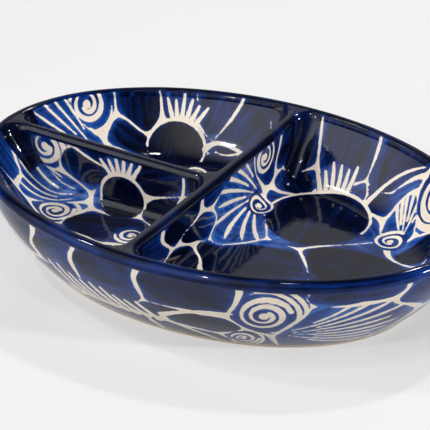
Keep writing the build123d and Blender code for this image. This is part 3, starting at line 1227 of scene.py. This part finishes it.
glaze = {"ior": 1.45, "streak": 1.0, "waver": 0.20, "waverDepth": 0.0012}
lipFinish = {"ior": 1.25, "streak": 1.5, "waver": 0.22, "waverDepth": 0.0012}
cobalt = {  # colours are linear, places on the ramps run from thin to heavy paint
    "blue": [(0.0, (0.036, 0.140, 0.450)), (0.22, (0.010, 0.058, 0.275)),
             (0.45, (0.004, 0.026, 0.155)), (0.68, (0.002, 0.012, 0.078)),
             (0.86, (0.0013, 0.0048, 0.031)), (1.0, (0.0008, 0.0022, 0.011))],
    "cream": [(0.3, (0.84, 0.73, 0.59)), (0.7, (0.90, 0.82, 0.70))],
    # noises as scale, detail and roughness
    "edgeNoise": (260.0, 3.0, 0.5), "edgeSwing": 1.0, "edgeSoft": 0.2,  # ragged brush edges, in millimetres
    "streakScale": (0.022, 0.26, 1.0), "streakNoise": (1.0, 3.0, 0.55), "streakSwing": 0.95,
    "poolNoise": (36.0, 3.0, 0.55), "poolSwing": 0.9, "thinReach": 3.2, "thinLess": 0.24,
    "creamNoise": (75.0, 4.0, 0.6), "roughNoise": (30.0, 3.0, 0.5), "roughRange": (0.3, 0.75, 0.04, 0.10),
    "waverNoise": (48.0, 2.0, 0.5), "grainNoise": (420.0, 2.0, 0.5), "grainShare": 0.035,
    "ridgeNoise": (1.6, 2.0, 0.5), "ridgeShare": 0.12, "bareDrop": 0.03,
}


def brushGroup():
    # cobalt brushwork over a cream ground, under a clear glaze
    tree = bpy.data.node_groups.new("cobaltBrush", "ShaderNodeTree")
    takes = {"Place": "Vector", "Reserve": "Float", "Depth": "Float", "Brush": "Vector", "Streak": "Float"}
    gives = {"Color": "Color", "Rough": "Float", "Height": "Float"}
    for way, sockets in (("INPUT", takes), ("OUTPUT", gives)):
        for label, kind in sockets.items():
            tree.interface.new_socket(label, in_out=way, socket_type="NodeSocket" + kind)
    given, result = tree.nodes.new("NodeGroupInput").outputs, tree.nodes.new("NodeGroupOutput").inputs
    place = given["Place"]
    ragged = swingNode(tree, noiseNode(tree, place, *cobalt["edgeNoise"]), cobalt["edgeSwing"])
    edge = mathNode(tree, "ADD", given["Reserve"], ragged)
    bare = rangeNode(tree, edge, cobalt["edgeSoft"], -cobalt["edgeSoft"])
    stretch = tree.nodes.new("ShaderNodeMapping")
    stretch.inputs["Scale"].default_value = cobalt["streakScale"]
    tree.links.new(given["Brush"], stretch.inputs["Vector"])
    streaks = noiseNode(tree, stretch.outputs[0], *cobalt["streakNoise"])
    streak = swingNode(tree, streaks, cobalt["streakSwing"])
    pool = swingNode(tree, noiseNode(tree, place, *cobalt["poolNoise"]), cobalt["poolSwing"])
    heavy = mathNode(tree, "ADD", given["Depth"], mathNode(tree, "MULTIPLY", streak, given["Streak"]))
    heavy = mathNode(tree, "ADD", heavy, pool)
    thin = rangeNode(tree, edge, 0.0, cobalt["thinReach"], cobalt["thinLess"], 0.0)  # beside the cream
    heavy = mathNode(tree, "SUBTRACT", heavy, thin)
    blueColor = rampNode(tree, heavy, cobalt["blue"])
    creamColor = rampNode(tree, noiseNode(tree, place, *cobalt["creamNoise"]), cobalt["cream"])
    tree.links.new(mixNode(tree, blueColor, creamColor, bare), result["Color"])
    rough = rangeNode(tree, noiseNode(tree, place, *cobalt["roughNoise"]), *cobalt["roughRange"])
    tree.links.new(rough, result["Rough"])
    grain = mathNode(tree, "MULTIPLY", noiseNode(tree, place, *cobalt["grainNoise"]), cobalt["grainShare"])
    ripple = mathNode(tree, "ADD", noiseNode(tree, place, *cobalt["waverNoise"]), grain)
    ridges = noiseNode(tree, stretch.outputs[0], *cobalt["ridgeNoise"])  # left by the brush
    ripple = mathNode(tree, "ADD", ripple, mathNode(tree, "MULTIPLY", ridges, cobalt["ridgeShare"]))
    dropped = mathNode(tree, "MULTIPLY", bare, cobalt["bareDrop"])
    tree.links.new(mathNode(tree, "SUBTRACT", ripple, dropped), result["Height"])
    return tree


def startMaterial(name, ior):
    material = bpy.data.materials.new(name)
    material.use_nodes = True
    tree = material.node_tree
    shader = tree.nodes["Principled BSDF"]
    shader.inputs["IOR"].default_value = ior
    return material, tree, shader, tree.nodes.new("ShaderNodeTexCoord").outputs["Object"]


def addBump(tree, shader, height, strength, distance):
    bump = tree.nodes.new("ShaderNodeBump")
    bump.inputs["Strength"].default_value = strength
    bump.inputs["Distance"].default_value = distance
    tree.links.new(height, bump.inputs["Height"])
    tree.links.new(bump.outputs[0], shader.inputs["Normal"])


def addBrush(tree, place, streak):
    node = tree.nodes.new("ShaderNodeGroup")
    node.node_tree = brushTree
    tree.links.new(place, node.inputs["Place"])
    for label, output in (("Reserve", "Fac"), ("Depth", "Fac"), ("Brush", "Vector")):
        given = tree.nodes.new("ShaderNodeAttribute")
        given.attribute_name = label.lower()
        tree.links.new(given.outputs[output], node.inputs[label])
    node.inputs["Streak"].default_value = streak
    return node.outputs


def glazeMaterial(name, finish):
    material, tree, shader, place = startMaterial(name, finish["ior"])
    brush = addBrush(tree, place, finish["streak"])
    tree.links.new(brush["Color"], shader.inputs["Base Color"])
    tree.links.new(brush["Rough"], shader.inputs["Roughness"])
    addBump(tree, shader, brush["Height"], finish["waver"], finish["waverDepth"])
    return material


clay = {  # metres from the table up
    "tones": [(0.3, (0.66, 0.53, 0.39)), (0.7, (0.80, 0.69, 0.55))], "roughness": 0.72,
    "glazeLine": 0.0038, "ragged": 0.0022, "raggedNoise": (70.0, 3.0, 0.5), "lineSoft": 0.00025,
    "grainNoise": (900.0, 4.0, 0.65), "stainNoise": (60.0, 3.0, 0.5), "grainShare": 0.5,
    "grainHigh": 0.3, "bareDrop": 0.2, "bump": 0.6, "bumpDepth": 0.0006,
}


def footMaterial():
    # glazed down to a ragged line just above the table, bare clay below it
    material, tree, shader, place = startMaterial("footGlaze", glaze["ior"])
    brush = addBrush(tree, place, glaze["streak"])
    split = tree.nodes.new("ShaderNodeSeparateXYZ")
    tree.links.new(place, split.inputs[0])
    ragged = swingNode(tree, noiseNode(tree, place, *clay["raggedNoise"]), clay["ragged"])
    line = mathNode(tree, "ADD", split.outputs["Z"], ragged)
    bare = rangeNode(tree, line, clay["glazeLine"] + clay["lineSoft"], clay["glazeLine"] - clay["lineSoft"])
    grain = noiseNode(tree, place, *clay["grainNoise"])
    stain = mathNode(tree, "MULTIPLY", noiseNode(tree, place, *clay["stainNoise"]), 1 - clay["grainShare"])
    tone = mathNode(tree, "ADD", mathNode(tree, "MULTIPLY", grain, clay["grainShare"]), stain)
    clayColor = rampNode(tree, tone, clay["tones"])
    tree.links.new(mixNode(tree, brush["Color"], clayColor, bare), shader.inputs["Base Color"])
    rough = tree.nodes.new("ShaderNodeMix")
    rough.inputs[3].default_value = clay["roughness"]
    tree.links.new(bare, rough.inputs[0])
    tree.links.new(brush["Rough"], rough.inputs[2])
    tree.links.new(rough.outputs[0], shader.inputs["Roughness"])
    raised = mathNode(tree, "MULTIPLY", grain, mathNode(tree, "MULTIPLY", bare, clay["grainHigh"]))
    height = mathNode(tree, "SUBTRACT", raised, mathNode(tree, "MULTIPLY", bare, clay["bareDrop"]))
    addBump(tree, shader, height, clay["bump"], clay["bumpDepth"])
    return material


brushTree = brushGroup()
blue = glazeMaterial("paintedGlaze", glaze)
lipGlaze = glazeMaterial("lipGlaze", lipFinish)
footGlaze = footMaterial()
print("glazes mixed")


points, faces, zone = buildShell()
shell = makePiece("bowlShell", points, faces, brushValues(shellPaint(points, zone)))
points, faces = buildFoot()
foot = makePiece("footRing", points, faces, brushValues(footPaint(points)))
points, faces, info = buildCross()
cross = makePiece("crossDivider", points, faces, brushValues(slabPaint(points, info, True)))
points, faces, info = buildLong()
longSlab = makePiece("longDivider", points, faces, brushValues(slabPaint(points, info, False)))
points, faces, unfolded, heights = largeSeam()
seamLarge = makePiece("seamCoilLarge", points, faces, brushValues(seamPaint(points, unfolded, heights)))
points, faces, unfolded, heights = smallSeam(1.0)
seamFar = makePiece("seamCoilFar", points, faces, brushValues(seamPaint(points, unfolded, heights)))
points, faces, unfolded, heights = smallSeam(-1.0)
seamNear = makePiece("seamCoilNear", points, faces, brushValues(seamPaint(points, unfolded, heights)))
lipRoll = buildLip(lipGlaze)

rows = (
    (shell, "bowl_shell", "painted_glaze", blue),
    (foot, "foot_ring", "bare_foot", footGlaze),
    (cross, "cross_divider", "painted_glaze", blue),
    (longSlab, "long_divider", "painted_glaze", blue),
    (seamLarge, "seam_coil_large", "painted_glaze", blue),
    (seamFar, "seam_coil_far", "painted_glaze", blue),
    (seamNear, "seam_coil_near", "painted_glaze", blue),
    (lipRoll, "lip_roll", "lip_glaze", None),  # its node tree has set its glaze
)
for obj, node, slotName, material in rows:
    if material:
        obj.data.materials.append(material)
    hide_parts(node)
    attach(obj, "root")
print(len(rows), "pieces ride on the packed part")


studio = {  # metres and watts
    "floorTone": 0.38, "floorLift": 0.405, "floorHalf": 20.0, "floorRough": 0.8, "ambient": 0.04,
    # soft glows in the surroundings: towards, strength, where the glow starts and is full, as cosines
    "glows": (((-0.444, -0.780, 0.440), 1.9, 0.55, 0.95), ((-0.44, 0.75, 0.49), 0.52, 0.80, 0.985)),
    # small lamps: name, place, size, power
    "lamps": (
        ("keyLamp", (0.15, -0.35, 1.8), 0.10, 2.6),
        ("leftLamp", (-1.1, -0.3, 1.5), 0.12, 6.8),
        ("frontLamp", (-0.2, -1.5, 1.4), 0.07, 6.6),
        ("rightLamp", (1.9, 0.3, 0.75), 0.16, 28.0),
        ("backLamp", (0.1, 1.1, 1.6), 0.12, 10.0),
    ),
}


def makeFloor():
    # pale where it is seen or reflected, and greyer in the light that it throws back
    mesh = bpy.data.meshes.new("floor")
    s = studio["floorHalf"]
    mesh.from_pydata([(-s, -s, 0), (s, -s, 0), (s, s, 0), (-s, s, 0)], [], [(0, 1, 2, 3)])
    floor = bpy.data.objects.new("floor", mesh)
    scene.collection.objects.link(floor)
    material = bpy.data.materials.new("paleFloor")
    material.use_nodes = True
    tree = material.node_tree
    shader = tree.nodes["Principled BSDF"]
    shader.inputs["Base Color"].default_value = (studio["floorTone"],) * 3 + (1,)
    shader.inputs["Roughness"].default_value = studio["floorRough"]
    shader.inputs["Emission Color"].default_value = (1, 1, 1, 1)
    rays = tree.nodes.new("ShaderNodeLightPath")
    seen = rays.outputs["Is Camera Ray"]
    for ray in ("Is Glossy Ray", "Is Transmission Ray"):
        seen = mathNode(tree, "MAXIMUM", seen, rays.outputs[ray])
    lift = mathNode(tree, "MULTIPLY", seen, studio["floorLift"])
    tree.links.new(lift, shader.inputs["Emission Strength"])
    floor.data.materials.append(material)


def makeSurroundings():
    world = bpy.data.worlds.new("studio")
    scene.world = world
    world.use_nodes = True
    tree = world.node_tree
    way = tree.nodes.new("ShaderNodeTexCoord").outputs["Generated"]
    level = studio["ambient"]
    for towards, strength, starts, full in studio["glows"]:
        facing = tree.nodes.new("ShaderNodeVectorMath")
        facing.operation = "DOT_PRODUCT"
        facing.inputs[1].default_value = Vector(towards).normalized()
        tree.links.new(way, facing.inputs[0])
        glow = rangeNode(tree, facing.outputs["Value"], starts, full, 0.0, strength)
        level = mathNode(tree, "ADD", glow, level)
    back = tree.nodes["Background"]
    back.inputs["Color"].default_value = (1, 1, 1, 1)
    tree.links.new(level, back.inputs["Strength"])


def makeLamp(name, place, size, power):
    light = bpy.data.lights.new(name, "AREA")
    light.shape = "DISK"
    light.size = size
    light.energy = power
    obj = bpy.data.objects.new(name, light)
    obj.location = place
    obj.rotation_euler = (-Vector(place)).to_track_quat("-Z", "Y").to_euler()
    scene.collection.objects.link(obj)


makeFloor()
makeSurroundings()
for row in studio["lamps"]:
    makeLamp(*row)
print("floor, surroundings and", len(studio["lamps"]), "lamps set")


view = {  # where the photograph was taken from, in metres and degrees
    "place": (0.606806, -1.037037, 0.707677), "azimuth": 30.606, "elevation": 29.2548,
    "frameWide": 430, "focal": 2219.18, "sensor": 36.0, "reach": 50,  # pixels, then millimetres and metres
}


def makeCamera():
    data = bpy.data.cameras.new("camera")
    data.sensor_width = view["sensor"]
    data.lens = view["focal"] / view["frameWide"] * view["sensor"]
    data.clip_end = view["reach"]
    camera = bpy.data.objects.new("camera", data)
    scene.collection.objects.link(camera)
    turn = Euler((quarter - math.radians(view["elevation"]), 0, math.radians(view["azimuth"])))
    camera.matrix_world = Matrix.LocRotScale(Vector(view["place"]), turn, None)
    scene.camera = camera


makeCamera()
print("camera set")
